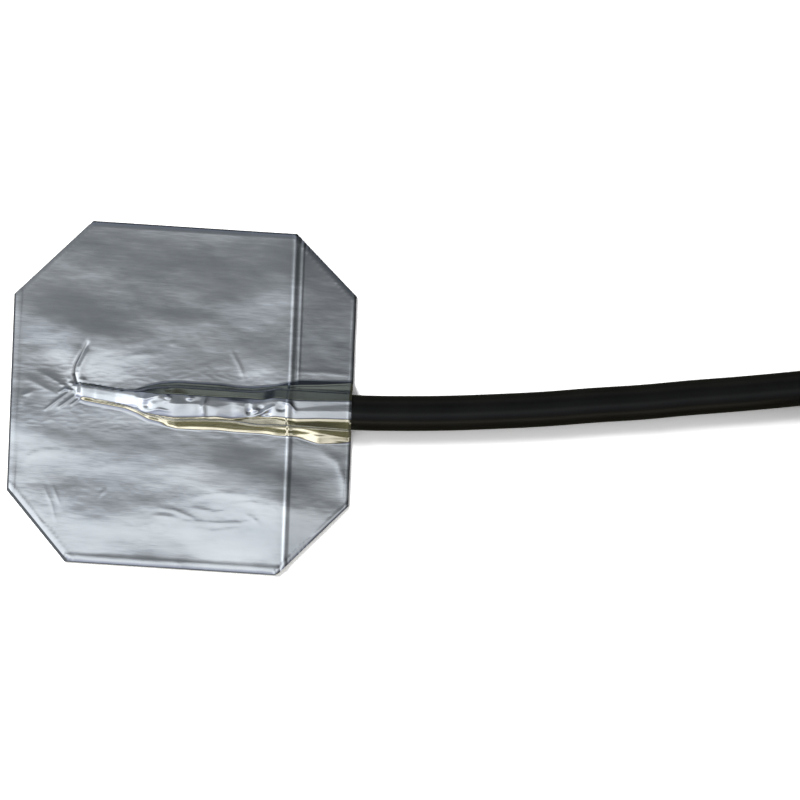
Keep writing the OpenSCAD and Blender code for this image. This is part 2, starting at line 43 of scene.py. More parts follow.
scene.view_settings.view_transform = "Standard"


# Camera: straight down on the patch and a little turned, with 117 mm of floor across the
# frame. Lengths are in millimetres here and below, unless a comment says otherwise
VIEW_TURN = 3.7
VIEW_MID = (31.9, 1.75)
VIEW_HEIGHT = 325
camera = bpy.data.objects.new("camera", bpy.data.cameras.new("camera"))
camera.data.lens = 100
camera.data.sensor_width = 36
camera.data.clip_start = 10 * MM
camera.location = Vector((*VIEW_MID, VIEW_HEIGHT)) * MM
camera.rotation_euler.z = math.radians(VIEW_TURN)
scene.collection.objects.link(camera)
scene.camera = camera


def smooth(t):
    """From 0 to 1 with a gentle start and end, for one value or an array."""
    t = np.clip(t, 0, 1)
    return t * t * (3 - 2 * t)


def mix(a, b, t):
    return a + (b - a) * t


# The cable's route, as the model has it: straight out of the foil, down onto the surface and
# out of the view. It starts under the foil, at JACKET_X
CABLE_D = 5.1
CABLE_SIDES = 28
CABLE_STEP = 1.6
JACKET_X, CABLE_Y, AXIS_Z = 13.6, -0.5, 2.82
EXIT_X = 25.0
FLOOR_Z = CABLE_D / 2
ROUTE = [
    (JACKET_X, CABLE_Y, AXIS_Z), (EXIT_X, CABLE_Y, AXIS_Z), (32, -0.2, 2.69),
    (39, 0.3, FLOOR_Z), (46, 1, FLOOR_Z), (53, 1.8, FLOOR_Z), (60, 2.8, FLOOR_Z),
    (67, 3.7, FLOOR_Z), (74, 4.8, FLOOR_Z), (81, 5.8, FLOOR_Z), (88, 6.9, FLOOR_Z),
    (95, 8.1, FLOOR_Z), (102, 9.5, FLOOR_Z), (109, 11.2, FLOOR_Z),
]
# The coil of the rest: its middle, the radius of its innermost and outermost turns, the angle
# where the cable comes in, and the degrees of turn in each of its three layers
COIL_AT = (130.4, -17.6)
COIL_IN, COIL_OUT = 20.6, 33.86
COIL_START = -20.0
LAYER_SWEEP = 918
LAYER_STEPS = 260
LAYERS_Z = (FLOOR_Z, FLOOR_Z + CABLE_D, FLOOR_Z + 2 * CABLE_D)
# The length of the climb from one layer to the next
CLIMB = 50.0
CLIMB_STEPS = 24
# The tie's strap: its angle on the coil, half of its width, the length over which the turns
# come down beside it, and how far it holds each layer up
STRAP_A = 52
STRAP_HALF = 1.7
STRAP_EASE = 8
STRAP_LIFT = (0.85, 0.45, 0.02)


def by_coil(angle, r, z):
    """A point of the coil, by its angle clockwise from the top."""
    a = math.radians(angle)
    return Vector((COIL_AT[0] + r * math.sin(a), COIL_AT[1] + r * math.cos(a), z))


def strap_share(angle, r):
    """How much of its layer's lift a turn has, by its way from the strap under it."""
    way = abs(math.radians((angle - STRAP_A + 180) % 360 - 180)) * r
    return 1 - smooth((way - STRAP_HALF) / STRAP_EASE)


def coil_points():
    """Three layers of turns: inwards, up and outwards, up and inwards again."""
    found = []
    angle = COIL_START
    for layer, z in enumerate(LAYERS_Z):
        a, b = (COIL_OUT, COIL_IN) if layer % 2 == 0 else (COIL_IN, COIL_OUT)
        for i in range(LAYER_STEPS + 1):
            r = mix(a, b, i / LAYER_STEPS)
            here = angle + LAYER_SWEEP * i / LAYER_STEPS
            found.append(by_coil(here, r, z + STRAP_LIFT[layer] * strap_share(here, r)))
        angle += LAYER_SWEEP
        if layer < len(LAYERS_Z) - 1:
            turn = math.degrees(CLIMB / b)
            for i in range(1, CLIMB_STEPS):
                up = smooth(i / CLIMB_STEPS) * CABLE_D
                found.append(by_coil(angle + turn * i / CLIMB_STEPS, b, z + up))
            angle += turn
    return found, angle


def spline_through(points, step):
    """Points about a step apart on a smooth curve through the given ones."""
    p = [Vector(q) for q in points]
    p = [2 * p[0] - p[1]] + p + [2 * p[-1] - p[-2]]
    found = []
    for a, b, c, d in zip(p, p[1:], p[2:], p[3:]):
        n = max(1, round((c - b).length / step))
        for i in range(n):
            t = i / n
            found.append(0.5 * (2 * b + (c - a) * t + (2 * a - 5 * b + 4 * c - d) * t * t
                                + (3 * b - a - 3 * c + d) * t * t * t))
    return found + [p[-2]]


def finished(name, bm, sharp):
    """The mesh as an object of the scene, smooth but for edges over the sharp angle."""
    mesh = bpy.data.meshes.new(name)
    bm.to_mesh(mesh)
    bm.free()
    mesh.polygons.foreach_set("use_smooth", [True] * len(mesh.polygons))
    mesh.set_sharp_from_angle(angle=math.radians(sharp))
    made = bpy.data.objects.new(name, mesh)
    scene.collection.objects.link(made)
    return made


def tube(name, points, d, sides):
    """A round bar along a line of points, closed at both ends."""
    curve = bpy.data.curves.new(f"{name}_line", "CURVE")
    curve.dimensions = "3D"
    curve.bevel_depth = d / 2 * MM
    curve.bevel_resolution = sides // 4 - 1
    curve.use_fill_caps = True
    line = curve.splines.new("POLY")
    line.points.add(len(points) - 1)
    for spot, p in zip(line.points, points):
        spot.co = (p[0] * MM, p[1] * MM, p[2] * MM, 1)
    swept = bpy.data.objects.new(f"{name}_line", curve)
    bm = bmesh.new()
    bm.from_mesh(swept.to_mesh())
    bmesh.ops.remove_doubles(bm, verts=bm.verts, dist=1e-7)
    bmesh.ops.recalc_face_normals(bm, faces=bm.faces)
    made = finished(name, bm, sharp=40)
    bpy.data.objects.remove(swept)
    return made


coil, far_angle = coil_points()
cable_line = spline_through(ROUTE + [coil[0]], CABLE_STEP)[:-1] + coil
jacket = tube("cable_jacket", cable_line, CABLE_D, CABLE_SIDES)
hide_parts("cable", "cable_coil")
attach(jacket, "root")


# The four cores at the far end, two above two, which fan out inwards and down to their
# ferrules: how far from the coil's middle each ends, the degrees of turn to there, the share
# of that turn before they go down, the length of the level stub after it and the height of
# the ferrules' collars
CORE_D = 1.2
CORE_SIDES = 16
CORE_STEP = 0.7
FAR_R = (11.8, 9.5, 7.2, 4.9)
FAR_SWEEP = 130
FAR_STEPS = 12
FAR_DOWN = 0.2
FAR_STUB = 1.0
COLLAR_Z = 1.0


def far_point(k, t):
    """A point of core k, from the jacket's end, at 0, to the bend before its ferrule, at 1."""
    side = CORE_D / 2 if k < 2 else -CORE_D / 2
    level = -CORE_D / 2 if k % 2 == 0 else CORE_D / 2
    return by_coil(far_angle + FAR_SWEEP * t,
                   mix(COIL_IN + side, FAR_R[k], 1 - (1 - t) ** 2),
                   mix(LAYERS_Z[2] + level, COLLAR_Z, smooth((t - FAR_DOWN) / (1 - FAR_DOWN))))


def far_core(k):
    """Core k, with a short level stub up to its ferrule's collar."""
    line = [far_point(k, i / FAR_STEPS) for i in range(FAR_STEPS + 1)]
    heading = (line[-1] - line[-2]) * Vector((1, 1, 0))
    line.append(line[-1] + heading.normalized() * FAR_STUB)
    core = tube(f"far_core_{k + 1}", spline_through(line, CORE_STEP), CORE_D, CORE_SIDES)
    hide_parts(f"end_core_{k + 1}")
    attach(core, "root")
    return core


cores = [far_core(k) for k in range(4)]
on_cable = cores + ["coil_tie"]
on_cable += [f"{n}_{k}" for n in ("ferrule", "ferrule_collar") for k in range(1, 5)]


# The cover foil, as the model has it: its length and width, the two legs of each cut corner,
# clockwise from the upper left, the lean of its sides, the height of its flat underside, its
# thickness, and how far the base foil stands out beside it, so that half of that is the way
# from the origin to its own middle
FOIL_LEN, FOIL_WID = 49.4, 49.5
LEGS = ((10.6, 10.9), (9.1, 8.6), (9.7, 10.3), (8.9, 9.9))
LEAN = math.tan(math.radians(1.45))
FLAT_Z = 0.32
COVER_T = 0.08
UNDERLAP = (0.6, 0.5)
CENTRE = (UNDERLAP[0] / 2, UNDERLAP[1] / 2)
FOIL_RIGHT = FOIL_LEN / 2 + CENTRE[0]
# What it covers: the tip of the element, the shrink tube's mouth, where the leads' line meets
# the cable's, and the split of the liner
TIP = (-15.1, 0.6)
MOUTH_X = -5.3
SPLIT_X = 15.9
LEAD_LEAN = (CABLE_Y - TIP[1]) / (MOUTH_X - TIP[0])


def foil_top(s):
    """The outline's upper side at a place along X, from the foil's own middle."""
    return (FOIL_WID / 2 - LEGS[0][1] * max(0, 1 - (s + FOIL_LEN / 2) / LEGS[0][0])
            - LEGS[1][1] * max(0, 1 - (FOIL_LEN / 2 - s) / LEGS[1][0]))


def foil_bottom(s):
    """The outline's lower side, in the same way."""
    return (-FOIL_WID / 2 + LEGS[3][1] * max(0, 1 - (s + FOIL_LEN / 2) / LEGS[3][0])
            + LEGS[2][1] * max(0, 1 - (FOIL_LEN / 2 - s) / LEGS[2][0]))


def foil_corners():
    """The foil's eight corners, clockwise from the left end of the upper edge."""
    half, top, low = FOIL_LEN / 2, FOIL_WID / 2, -FOIL_WID / 2
    marks = [(LEGS[0][0] - half, top), (half - LEGS[1][0], top), (half, foil_top(half)),
             (half, foil_bottom(half)), (half - LEGS[2][0], low), (LEGS[3][0] - half, low),
             (-half, foil_bottom(-half)), (-half, foil_top(-half))]
    return [(s + CENTRE[0] - (y + CENTRE[1]) * LEAN, y + CENTRE[1]) for s, y in marks]


def line_y(s):
    """Where the line of the inner pieces lies: askew along the leads, then along the cable."""
    return np.where(s < MOUTH_X, TIP[1] + (s - TIP[0]) * LEAD_LEAN, CABLE_Y)


# Cross-sections of the drape over that line: the place along X, and at each place the distance
# from the line and the height over the flat foil, from the upper foot over the crest to the
# lower foot. The sheet is straight between one section and the next
SECTIONS = {
    -15.6: [(0.6, 0), (0.5, 0), (0.4, 0), (0.35, 0), (0.3, 0), (0.1, 0), (-0.2, 0), (-0.5, 0),
            (-0.6, 0), (-0.8, 0), (-1, 0), (-1.2, 0), (-1.4, 0), (-1.6, 0)],
    -14.3: [(0.66, 0), (0.64, 0.03), (0.6, 0.25), (0.56, 0.42), (0.5, 0.58), (0.15, 0.62),
            (-0.45, 0.6), (-0.8, 0.57), (-1, 0.55), (-1.25, 0.5), (-1.4, 0.4), (-1.72, 0.1),
            (-2, 0.04), (-2.3, 0)],
    -12.8: [(0.72, 0), (0.7, 0.03), (0.67, 0.25), (0.63, 0.42), (0.57, 0.68), (0.2, 0.72),
            (-0.5, 0.7), (-1.1, 0.65), (-1.2, 0.63), (-1.3, 0.59), (-1.4, 0.4), (-1.72, 0.1),
            (-2, 0.04), (-2.3, 0)],
    -12.2: [(0.72, 0), (0.7, 0.03), (0.67, 0.4), (0.63, 0.75), (0.57, 0.93), (0.2, 0.95),
            (-0.5, 0.93), (-1.15, 0.88), (-1.25, 0.86), (-1.34, 0.8), (-1.4, 0.4), (-1.74, 0.1),
            (-2, 0.04), (-2.3, 0)],
    -11.1: [(0.7, 0), (0.68, 0.03), (0.65, 0.4), (0.61, 0.85), (0.55, 1.14), (0.2, 1.17),
            (-0.45, 1.15), (-1.12, 1.1), (-1.22, 1.08), (-1.33, 1.02), (-1.4, 0.4), (-1.74, 0.1),
            (-2, 0.04), (-2.3, 0)],
    -9.4: [(0.74, 0), (0.72, 0.03), (0.69, 0.6), (0.65, 1.3), (0.58, 1.58), (0.2, 1.6),
            (-0.5, 1.58), (-1.1, 1.54), (-1.22, 1.52), (-1.36, 1.46), (-1.43, 0.4), (-1.77, 0.1),
            (-2.05, 0.04), (-2.3, 0)],
    -8: [(0.8, 0), (0.78, 0.04), (0.75, 0.8), (0.71, 1.7), (0.64, 2.1), (0.3, 2.13), (-0.4, 2.11),
            (-1.1, 2.07), (-1.23, 2.05), (-1.37, 1.98), (-1.44, 0.42), (-1.8, 0.1), (-2.1, 0.04),
            (-2.35, 0)],
    -6.4: [(1.12, 0), (1.06, 0.08), (1, 0.9), (0.93, 2.2), (0.82, 2.9), (0.3, 2.95), (-0.3, 2.93),
            (-0.9, 2.88), (-1.2, 2.77), (-1.6, 2.66), (-1.7, 0.52), (-2.15, 0.1), (-2.45, 0.04),
            (-2.7, 0)],
    -5.3: [(1.75, 0), (1.6, 0.1), (1.48, 0.9), (1.38, 2.6), (1.1, 3.5), (0.4, 3.74), (-0.4, 3.74),
            (-1.3, 3.64), (-1.55, 3.6), (-1.9, 3.5), (-2.02, 0.6), (-2.5, 0.12), (-2.8, 0.05),
            (-3.05, 0)],
    -4.8: [(2.1, 0), (1.75, 0.12), (1.6, 0.9), (1.48, 2.9), (1, 3.78), (0.3, 3.88), (-0.5, 3.85),
            (-1.5, 3.74), (-1.8, 3.7), (-2.1, 3.62), (-2.22, 0.64), (-2.74, 0.12), (-3, 0.05),
            (-3.25, 0)],
    -3: [(2.6, 0), (2.2, 0.15), (1.9, 1.2), (1.76, 3.1), (0.9, 4.3), (0.3, 4.33), (-0.3, 4.3),
            (-1.75, 4.17), (-2.05, 4.12), (-2.38, 3.98), (-2.5, 0.68), (-3.1, 0.12),
            (-3.35, 0.05), (-3.6, 0)],
    -2: [(2.75, 0), (2.32, 0.15), (2, 1.2), (1.86, 3.18), (0.94, 4.35), (0.2, 4.4), (-0.3, 4.4),
            (-1.9, 4.24), (-2.18, 4.17), (-2.48, 4.02), (-2.6, 0.95), (-3.4, 0.23), (-3.75, 0.01),
            (-3.9, 0)],
    -0.5: [(2.95, 0), (2.5, 0.15), (2.14, 1.3), (2, 3.3), (1, 4.42), (0, 4.52), (-0.4, 4.55),
            (-2.2, 4.36), (-2.4, 4.27), (-2.66, 4.1), (-2.78, 1.12), (-3.6, 0.3), (-4, 0.02),
            (-4.15, 0)],
    2.6: [(2.92, 0), (2.5, 0.15), (2.12, 1.3), (1.97, 3.3), (0.98, 4.55), (0.2, 4.53),
            (-0.2, 4.55), (-1.9, 4.38), (-2.1, 4.33), (-2.42, 4.13), (-2.54, 1.3), (-3.45, 0.36),
            (-4, 0.02), (-4.15, 0)],
    5.5: [(2.95, 0), (2.5, 0.15), (2.14, 1.3), (1.98, 3.2), (0.95, 4.46), (0.5, 4.53),
            (-0.45, 4.55), (-1.3, 4.53), (-1.75, 4.49), (-2.28, 4.165), (-2.42, 1.35),
            (-3.35, 0.36), (-3.85, 0.02), (-4, 0)],
    8: [(2.75, 0), (2.35, 0.13), (2.1, 1.3), (1.97, 3.2), (1.1, 4.32), (0.48, 4.56), (0.1, 4.54),
            (-1.8, 4.35), (-2.02, 4.26), (-2.3, 4.07), (-2.42, 1.5), (-3.42, 0.38), (-3.95, 0.02),
            (-4.1, 0)],
    10.4: [(2.8, 0), (2.35, 0.15), (2.1, 1.3), (1.97, 3.2), (1.1, 4.32), (0.4, 4.55),
            (-0.3, 4.57), (-1, 4.5), (-1.62, 4.42), (-2.56, 2.97), (-2.74, 1.12), (-3.4, 0.4),
            (-3.95, 0.02), (-4.1, 0)],
    12.3: [(3.1, 0), (2.65, 0.15), (2.37, 1.2), (2.2, 2.95), (1, 4.55), (0.6, 4.62), (-0.5, 4.66),
            (-1.35, 4.6), (-1.55, 4.5), (-2.6, 2.88), (-2.76, 1.06), (-3.35, 0.42), (-3.85, 0.08),
            (-4, 0)],
    13.9: [(3.3, 0), (2.95, 0.13), (2.78, 1), (2.63, 3.2), (1.42, 5.06), (1, 5.13), (-0.15, 5.13),
            (-1.2, 5.05), (-1.48, 4.88), (-2.48, 3.34), (-2.64, 1.4), (-3.5, 0.42), (-4.07, 0.02),
            (-4.2, 0)],
    17.2: [(4.15, 0), (3.35, 0.38), (2.85, 1.2), (2.65, 3.3), (1.25, 5.16), (0.1, 5.11),
            (-0.35, 5.12), (-1.35, 5.05), (-1.85, 4.72), (-2.45, 4.1), (-2.62, 1.36),
            (-3.5, 0.42), (-3.95, 0.1), (-4.2, 0)],
    20.3: [(4.3, 0), (3.6, 0.3), (2.9, 1.4), (2.65, 3.4), (1.4, 5.13), (0.6, 5.11), (-0.1, 5.13),
            (-1.1, 5.07), (-1.58, 4.76), (-2.48, 3.78), (-2.64, 1.85), (-3.45, 1), (-4, 0.62),
            (-4.9, 0)],
    FOIL_RIGHT: [(4.55, 0), (4.15, 0.15), (2.98, 1.7), (2.67, 3.7), (1.65, 5.12), (1.15, 5.105),
            (0.1, 5.13), (-0.95, 5.03), (-1.45, 4.7), (-2.52, 3.68), (-2.68, 1.55), (-3.6, 0.58),
            (-4.35, 0.05), (-4.6, 0)],
}
SECTION_X = np.array(list(SECTIONS))
SECTION_POINTS = np.array(list(SECTIONS.values()))
# The folds are rounded by a mean of places around, this far along X and across it, with these
# steps and weights
ROUND_ALONG, ROUND_ACROSS = 0.3, 0.06
ROUNDING = ((-1, 1), (-0.5, 2), (0, 2), (0.5, 2), (1, 1))
ROUNDING_SUM = sum(weight for _, weight in ROUNDING)


def section_points(s):
    """The points of the section at each place along X."""
    i = np.clip(np.searchsorted(SECTION_X, s, side="right") - 1, 0, len(SECTION_X) - 2)
    t = np.clip((s - SECTION_X[i]) / (SECTION_X[i + 1] - SECTION_X[i]), 0, 1)
    return mix(SECTION_POINTS[i], SECTION_POINTS[i + 1], t[:, None, None])


def sharp_drape(points, d):
    """Height over the flat foil at distance d, straight between the section's points."""
    h = 0
    for k in range(points.shape[1] - 1):
        (b, b_height), (a, a_height) = points[:, k].T, points[:, k + 1].T
        h = h + (b_height - a_height) * np.clip((d - a) / (b - a), 0, 1)
    return h


def drape_height(s, d):
    """The drape with its folds rounded."""
    h = 0
    for along, part in ROUNDING:
        points = section_points(s + along * ROUND_ALONG)
        for across, share in ROUNDING:
            h = h + part * share / ROUNDING_SUM ** 2 * sharp_drape(points, d + across * ROUND_ACROSS)
    return h


# What the sheet has to clear, beside the jacket, and by how much. It is looked for from the
# given height, up to so far from the cable's line and so far to the left of the tip
INNER = ("chip_substrate", "chip_glass", "lead_glass", "lead_sleeve_left",
         "lead_sleeve_right", "shrink_tube")
EASE = 0.03
LOOK_FROM = 20
LOOK_BESIDE, LOOK_LEFT = 3.5, 1


def inner_tops(x, y):
    """The height that the sheet has to keep at each place: the tops of the inner pieces."""
    trees = []
    for mesh in [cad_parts[name].data for name in INNER] + [jacket.data]:
        bm = bmesh.new()
        bm.from_mesh(mesh)
        trees.append(BVHTree.FromBMesh(bm))
        bm.free()
    tops = np.zeros(len(x))
    down = Vector((0, 0, -1))
    for i, (a, b) in enumerate(zip(x, y)):
        if abs(b - CABLE_Y) > LOOK_BESIDE or a < TIP[0] - LOOK_LEFT:
            continue
        for tree in trees:
            spot = tree.ray_cast(Vector((a, b, LOOK_FROM)) * MM, down)[0]
            if spot is not None:
                tops[i] = max(tops[i], spot.z / MM + EASE)
    return tops


# Folds that a hand has pressed into the foil: the points of each, its height and its half
# width. Some have a gentler side, on the left of the line: how steep that one is, as a share
FOLDS = [
    # out of the tip, up and round to the right
    ([(-14.4, 6.5), (-14.9, 5.3), (-15.6, 3.7), (-15.7, 2.6), (-15.3, 1.5)], 0.2, 0.9),
    ([(-14.2, 6.9), (-14.9, 5.3), (-15.6, 3.7), (-15.7, 2.6), (-15.3, 1.3)], -0.3, 0.3),
    # out of the tip, to the lower left
    ([(-16.2, 0.0), (-18.0, -1.5), (-19.7, -3.0)], 0.06, 0.16),
    ([(-15.1, -0.3), (-16.4, -1.4), (-17.7, -2.5)], 0.06, 0.15),
    ([(-14.3, -0.7), (-15.1, -1.3), (-15.9, -2.0)], 0.06, 0.14),
    ([(-15.9, 0.1), (-17.0, 0.2), (-17.8, -0.3)], 0.08, 0.15),
    ([(-22.3, 1.3), (-20.0, 0.2), (-17.8, -0.7)], 0.06, 1.0),
    ([(-17.6, 0.9), (-19.1, 1.7), (-21.2, 2.7)], 0.06, 0.7),
    # at the left edge
    ([(-23.2, -2.4), (-23.0, -1.1), (-21.9, -0.4)], 0.06, 0.3),
    ([(-22.3, -10.8), (-21.3, -9.8), (-20.1, -9.3), (-16.9, -8.9)], 0.04, 0.22),
    ([(-19.1, -14.3), (-17.9, -16.6), (-17.2, -19.0)], 0.02, 0.25),
    ([(-17.8, -14.2), (-16.6, -16.8)], 0.02, 0.22),
    # marks over the middle of the patch
    ([(-8.5, 7.3), (-6.0, 7.5)], 0.02, 0.15),
    ([(-2.5, 7.8), (-1.2, 8.0)], 0.02, 0.15),
    ([(-8.8, 5.3), (-6.5, 5.9), (-3.6, 6.2)], 0.02, 0.3),
    ([(6.9, 7.2), (8.2, 5.2), (8.9, 3.5)], 0.03, 0.2),
    ([(-11.5, -11.3), (-9.8, -10.3), (-7.8, -9.9)], 0.015, 0.3),
    ([(-11.0, -15.2), (-10.2, -14.0)], 0.03, 0.18),
    ([(-3.9, -10.8), (-0.3, -10.1), (3.4, -10.3)], 0.012, 0.4),
    # streaks in the lower right
    ([(-2.2, -16.3), (-0.3, -16.4), (1.3, -16.9), (3.2, -17.6)], 0.0352, 0.16, 0.8),
    ([(-3.1, -17.4), (-1.2, -17.4), (0.8, -17.7)], 0.032, 0.16, 0.8),
    ([(1.4, -18.0), (5.5, -18.1), (9.7, -17.7), (12.4, -17.2)], 0.032, 0.16, 0.8),
    ([(2.7, -16.0), (5.8, -16.4), (7.8, -16.1)], 0.0288, 0.18, 0.8),
    ([(2.9, -19.2), (6.0, -19.2), (9.8, -18.5)], 0.0224, 0.25, 0.8),
    ([(3.0, -14.3), (6.8, -13.6), (10.9, -13.7)], 0.0224, 0.3, 0.8),
    ([(8.1, -15.0), (11.3, -14.7), (13.6, -15.0)], 0.0192, 0.25, 0.8),
    ([(10.5, -16.6), (11.6, -16.9), (12.6, -17.8)], 0.0288, 0.2, 0.8),
    ([(-3.2, -21.8), (0.5, -22.0), (4.8, -21.4)], 0.016, 0.3, 0.8),
    ([(6.3, -21.9), (9.9, -21.3), (13.2, -21.7)], 0.0128, 0.3, 0.8),
    ([(0.7, -24.1), (1.8, -25.1)], 0.03, 0.16),
    ([(9.5, -24.0), (11.8, -23.4), (13.9, -23.7)], 0.02, 0.2),
    # past the split
    ([(16.4, 7.8), (16.5, 3.5)], 0.03, 0.16),
    ([(17.0, 4.9), (20.7, 5.0), (24.2, 4.9)], 0.03, 0.25),
    ([(21.0, -6.6), (23.4, -7.9), (24.6, -10.7), (24.5, -13.4)], 0.05, 0.5),
    # over the crest of the drape
    ([(3.9, 0.2), (3.6, -1.1), (3.9, -2.6)], 0.2, 0.24),
    ([(10.8, -2.1), (12.2, -1.4), (13.7, -0.3)], 0.14, 0.18),
    ([(-6.0, -0.3), (-4.7, -0.5), (-3.0, 0.2)], 0.1, 0.2),
    ([(-4.5, -2.3), (-2.8, -1.8), (-1.1, -2.0)], 0.08, 0.25),
    ([(14.6, 0.5), (16.1, 0.2), (17.0, -0.8)], 0.12, 0.2),
]
# A fold's shape: how sharp its top is, the share of its height at its two ends' rise, and how
# full it is between them
FOLD_SHARP = 1.3
FOLD_ENDS = 0.08
FOLD_FULL = 0.7
# Bumps and dents: place, half lengths along X and across, height. The first ones are over
# the drape, then come those at its tip and the sheet's broad swells
BUMPS = [
    (-1.5, 0.0, 0.4, 0.3, 0.14), (1.7, 0.1, 0.4, 0.3, 0.14),
    (0.1, -1.0, 1.0, 0.7, 0.03), (2.5, -1.6, 0.6, 0.8, 0.04),
    (-3.5, -1.3, 0.8, 0.5, 0.06), (6.4, -1.3, 1.5, 0.7, 0.04),
    (8.7, -1.3, 0.8, 0.7, 0.06), (10.2, -1.1, 0.35, 0.7, -0.24),
    (11.2, -1.1, 0.25, 0.25, 0.1), (12.0, -0.8, 0.35, 0.35, -0.1),
    (13.0, -1.5, 0.5, 0.35, -0.12), (14.9, -0.6, 0.6, 0.35, -0.1),
    (16.1, 0.0, 0.6, 0.6, 0.06), (-4.6, -1.3, 0.5, 0.4, -0.1),
    (-16.2, 1.1, 0.3, 0.2, 0.05), (-16.8, 0.3, 0.35, 0.2, 0.03), (-15.7, 0.7, 0.3, 0.25, 0.05),
    (-17.4, 0.8, 0.4, 0.2, 0.03), (-16.5, 1.7, 0.3, 0.3, 0.03), (-14.6, 1.7, 0.5, 0.3, 0.05),
    (11.0, -14.0, 8.0, 5.5, 0.3), (-9.0, 8.0, 8.0, 4.0, 0.16), (-21.0, -4.0, 5.0, 6.0, 0.15),
    (-18.0, 9.0, 5.0, 5.0, 0.12), (-12.0, -20.0, 7.0, 5.0, 0.1),
]


def near_line(x, y, points):
    """Distance to a line of points, how far along it, from 0 to 1, and whether on its left."""
    best = np.full(x.shape, 1e9)
    along = np.zeros(x.shape)
    left = np.zeros(x.shape, bool)
    lengths = [math.dist(a, b) for a, b in zip(points, points[1:])]
    total = sum(lengths)
    gone = 0.0
    for (ax, ay), (bx, by), length in zip(points, points[1:], lengths):
        t = np.clip(((x - ax) * (bx - ax) + (y - ay) * (by - ay)) / length ** 2, 0, 1)
        far = np.hypot(x - ax - t * (bx - ax), y - ay - t * (by - ay))
        closer = far < best
        best = np.where(closer, far, best)
        along = np.where(closer, (gone + t * length) / total, along)
        left = np.where(closer, (bx - ax) * (y - ay) > (by - ay) * (x - ax), left)
        gone += length
    return best, along, left


def fold_height(x, y, points, high, half, gentle=1):
    """One fold, sharper at its top than a wave, that fades towards both ends."""
    far, along, left = near_line(x, y, points)
    far = np.where(left, far * gentle, far)
    rise = np.sin(math.pi * mix(FOLD_ENDS, 1 - FOLD_ENDS, along)) ** FOLD_FULL
    return high * np.exp(-(far / half) ** FOLD_SHARP) * rise


def bump_height(x, y, at_x, at_y, along, across, high):
    """One bump or dent, or a swell."""
    return high * np.exp(-((x - at_x) / along) ** 2 - ((y - at_y) / across) ** 2)


# How far the strip past the liner's split stands open, and how far before it the foil lifts
STRIP_LIFT = 0.22
STRIP_RUN = 4.5
# The crease over the split: height, and half width before it and past it. On the upper side
# there is a fainter one beside it: height, half width, distance past the first, and where it
# begins and has its full height, across
CREASE_H, CREASE_HALF = 0.16, (0.36, 0.6)
FAINT_H, FAINT_HALF, FAINT_OFF = 0.07, 0.25, 1.1
FAINT_FROM, FAINT_FULL = 0.5, 6.5
# The sheet's unevenness: height, then waves per millimetre along X and across it, and the
# level at which the noise is cut. The first two ride this much higher than the noise's middle
SLOW, MID, FINE = (0.1, 0.11, 0.16, 3.1), (0.016, 0.34, 0.62, 8.4), (0.01, 0.55, 1.5, 5.2)
RIDE = 0.7
# Where the drape is lower than the first height the sheet is as wavy as where it lies flat,
# and from the second one on it is taut
TAUT = (0.6, 1.6)


def strip_lift(s):
    """The strip past the split stands a little open, and falls to the foil's right edge."""
    before = np.exp(-((np.minimum(s, SPLIT_X) - SPLIT_X) / STRIP_RUN) ** 2)
    past = np.clip((FOIL_RIGHT - s) / (FOIL_RIGHT - SPLIT_X), 0, 1)
    return STRIP_LIFT * np.where(s < SPLIT_X, before, past)


def crease(s, y):
    """The crease over the liner's split, with the fainter one beside it."""
    half = np.where(s < SPLIT_X, *CREASE_HALF)
    main = CREASE_H * np.clip(1 - np.abs(s - SPLIT_X) / half, 0, 1)
    faint = FAINT_H * np.clip(1 - np.abs(s - SPLIT_X - FAINT_OFF) / FAINT_HALF, 0, 1)
    return main + faint * smooth((y - FAINT_FROM) / (FAINT_FULL - FAINT_FROM))


def noise_at(x, y, along, across, level):
    return np.array([noise.noise((a * along, b * across, level)) for a, b in zip(x, y)])


def waves(x, y):
    """The sheet's own slow unevenness, and its faint creases from handling."""
    slow, mid = (high * (noise_at(x, y, *scale) + RIDE) for high, *scale in (SLOW, MID))
    creases = FINE[0] * np.abs(noise_at(x, y, *FINE[1:]))
    return np.maximum(slow + mid - creases, 0)


def foil_height(x, y):
    """The underside's height at each place, but for the cut edges."""
    s = x + y * LEAN
    drape = drape_height(s, y - line_y(s))
    taut = smooth((drape - TAUT[0]) / (TAUT[1] - TAUT[0]))
    return (FLAT_Z + drape + crease(s, y) + sum(fold_height(x, y, *fold) for fold in FOLDS)
            + (1 - taut) * (waves(x, y) + strip_lift(s))
            + sum(bump_height(x, y, *bump) for bump in BUMPS))


# How far the cover is pressed out and down past its cut line, and the height of the lip that
# the knife leaves, edge by edge from the upper one, clockwise: over nothing at the top and
# right, onto the base foil at the others
PRESSED = ((-0.06, 0.12, 0.06), (0, 0.14, 0.06), (0, 0.16, 0.06), (0, 0.1, 0.1),
           (0.3, 0.04, 0.1), (0.3, 0.04, 0.03), (0.3, 0.04, 0.06), (0, 0.02, 0.02))
# The width of the pressed rim, and the place and half width of the lip inside it
RIM = 0.4
LIP_IN, LIP_HALF = 0.25, 0.16


def foil_edges():
    """Each edge of the foil: its two corners, and how it is pressed."""
    corners = foil_corners()
    return zip(corners, corners[1:] + corners[:1], PRESSED)


def edge_height(x, y):
    """The lips along the cut edges, and the sheet pressed down past them."""
    h = np.zeros(x.shape)
    for (ax, ay), (bx, by), (out, drop, lip) in foil_edges():
        inward = ((x - ax) * (by - ay) - (y - ay) * (bx - ax)) / math.dist((ax, ay), (bx, by))
        h += lip * np.exp(-((inward - LIP_IN) / LIP_HALF) ** 2)
        h -= drop * smooth(1 - (inward + out) / RIM)
    return h


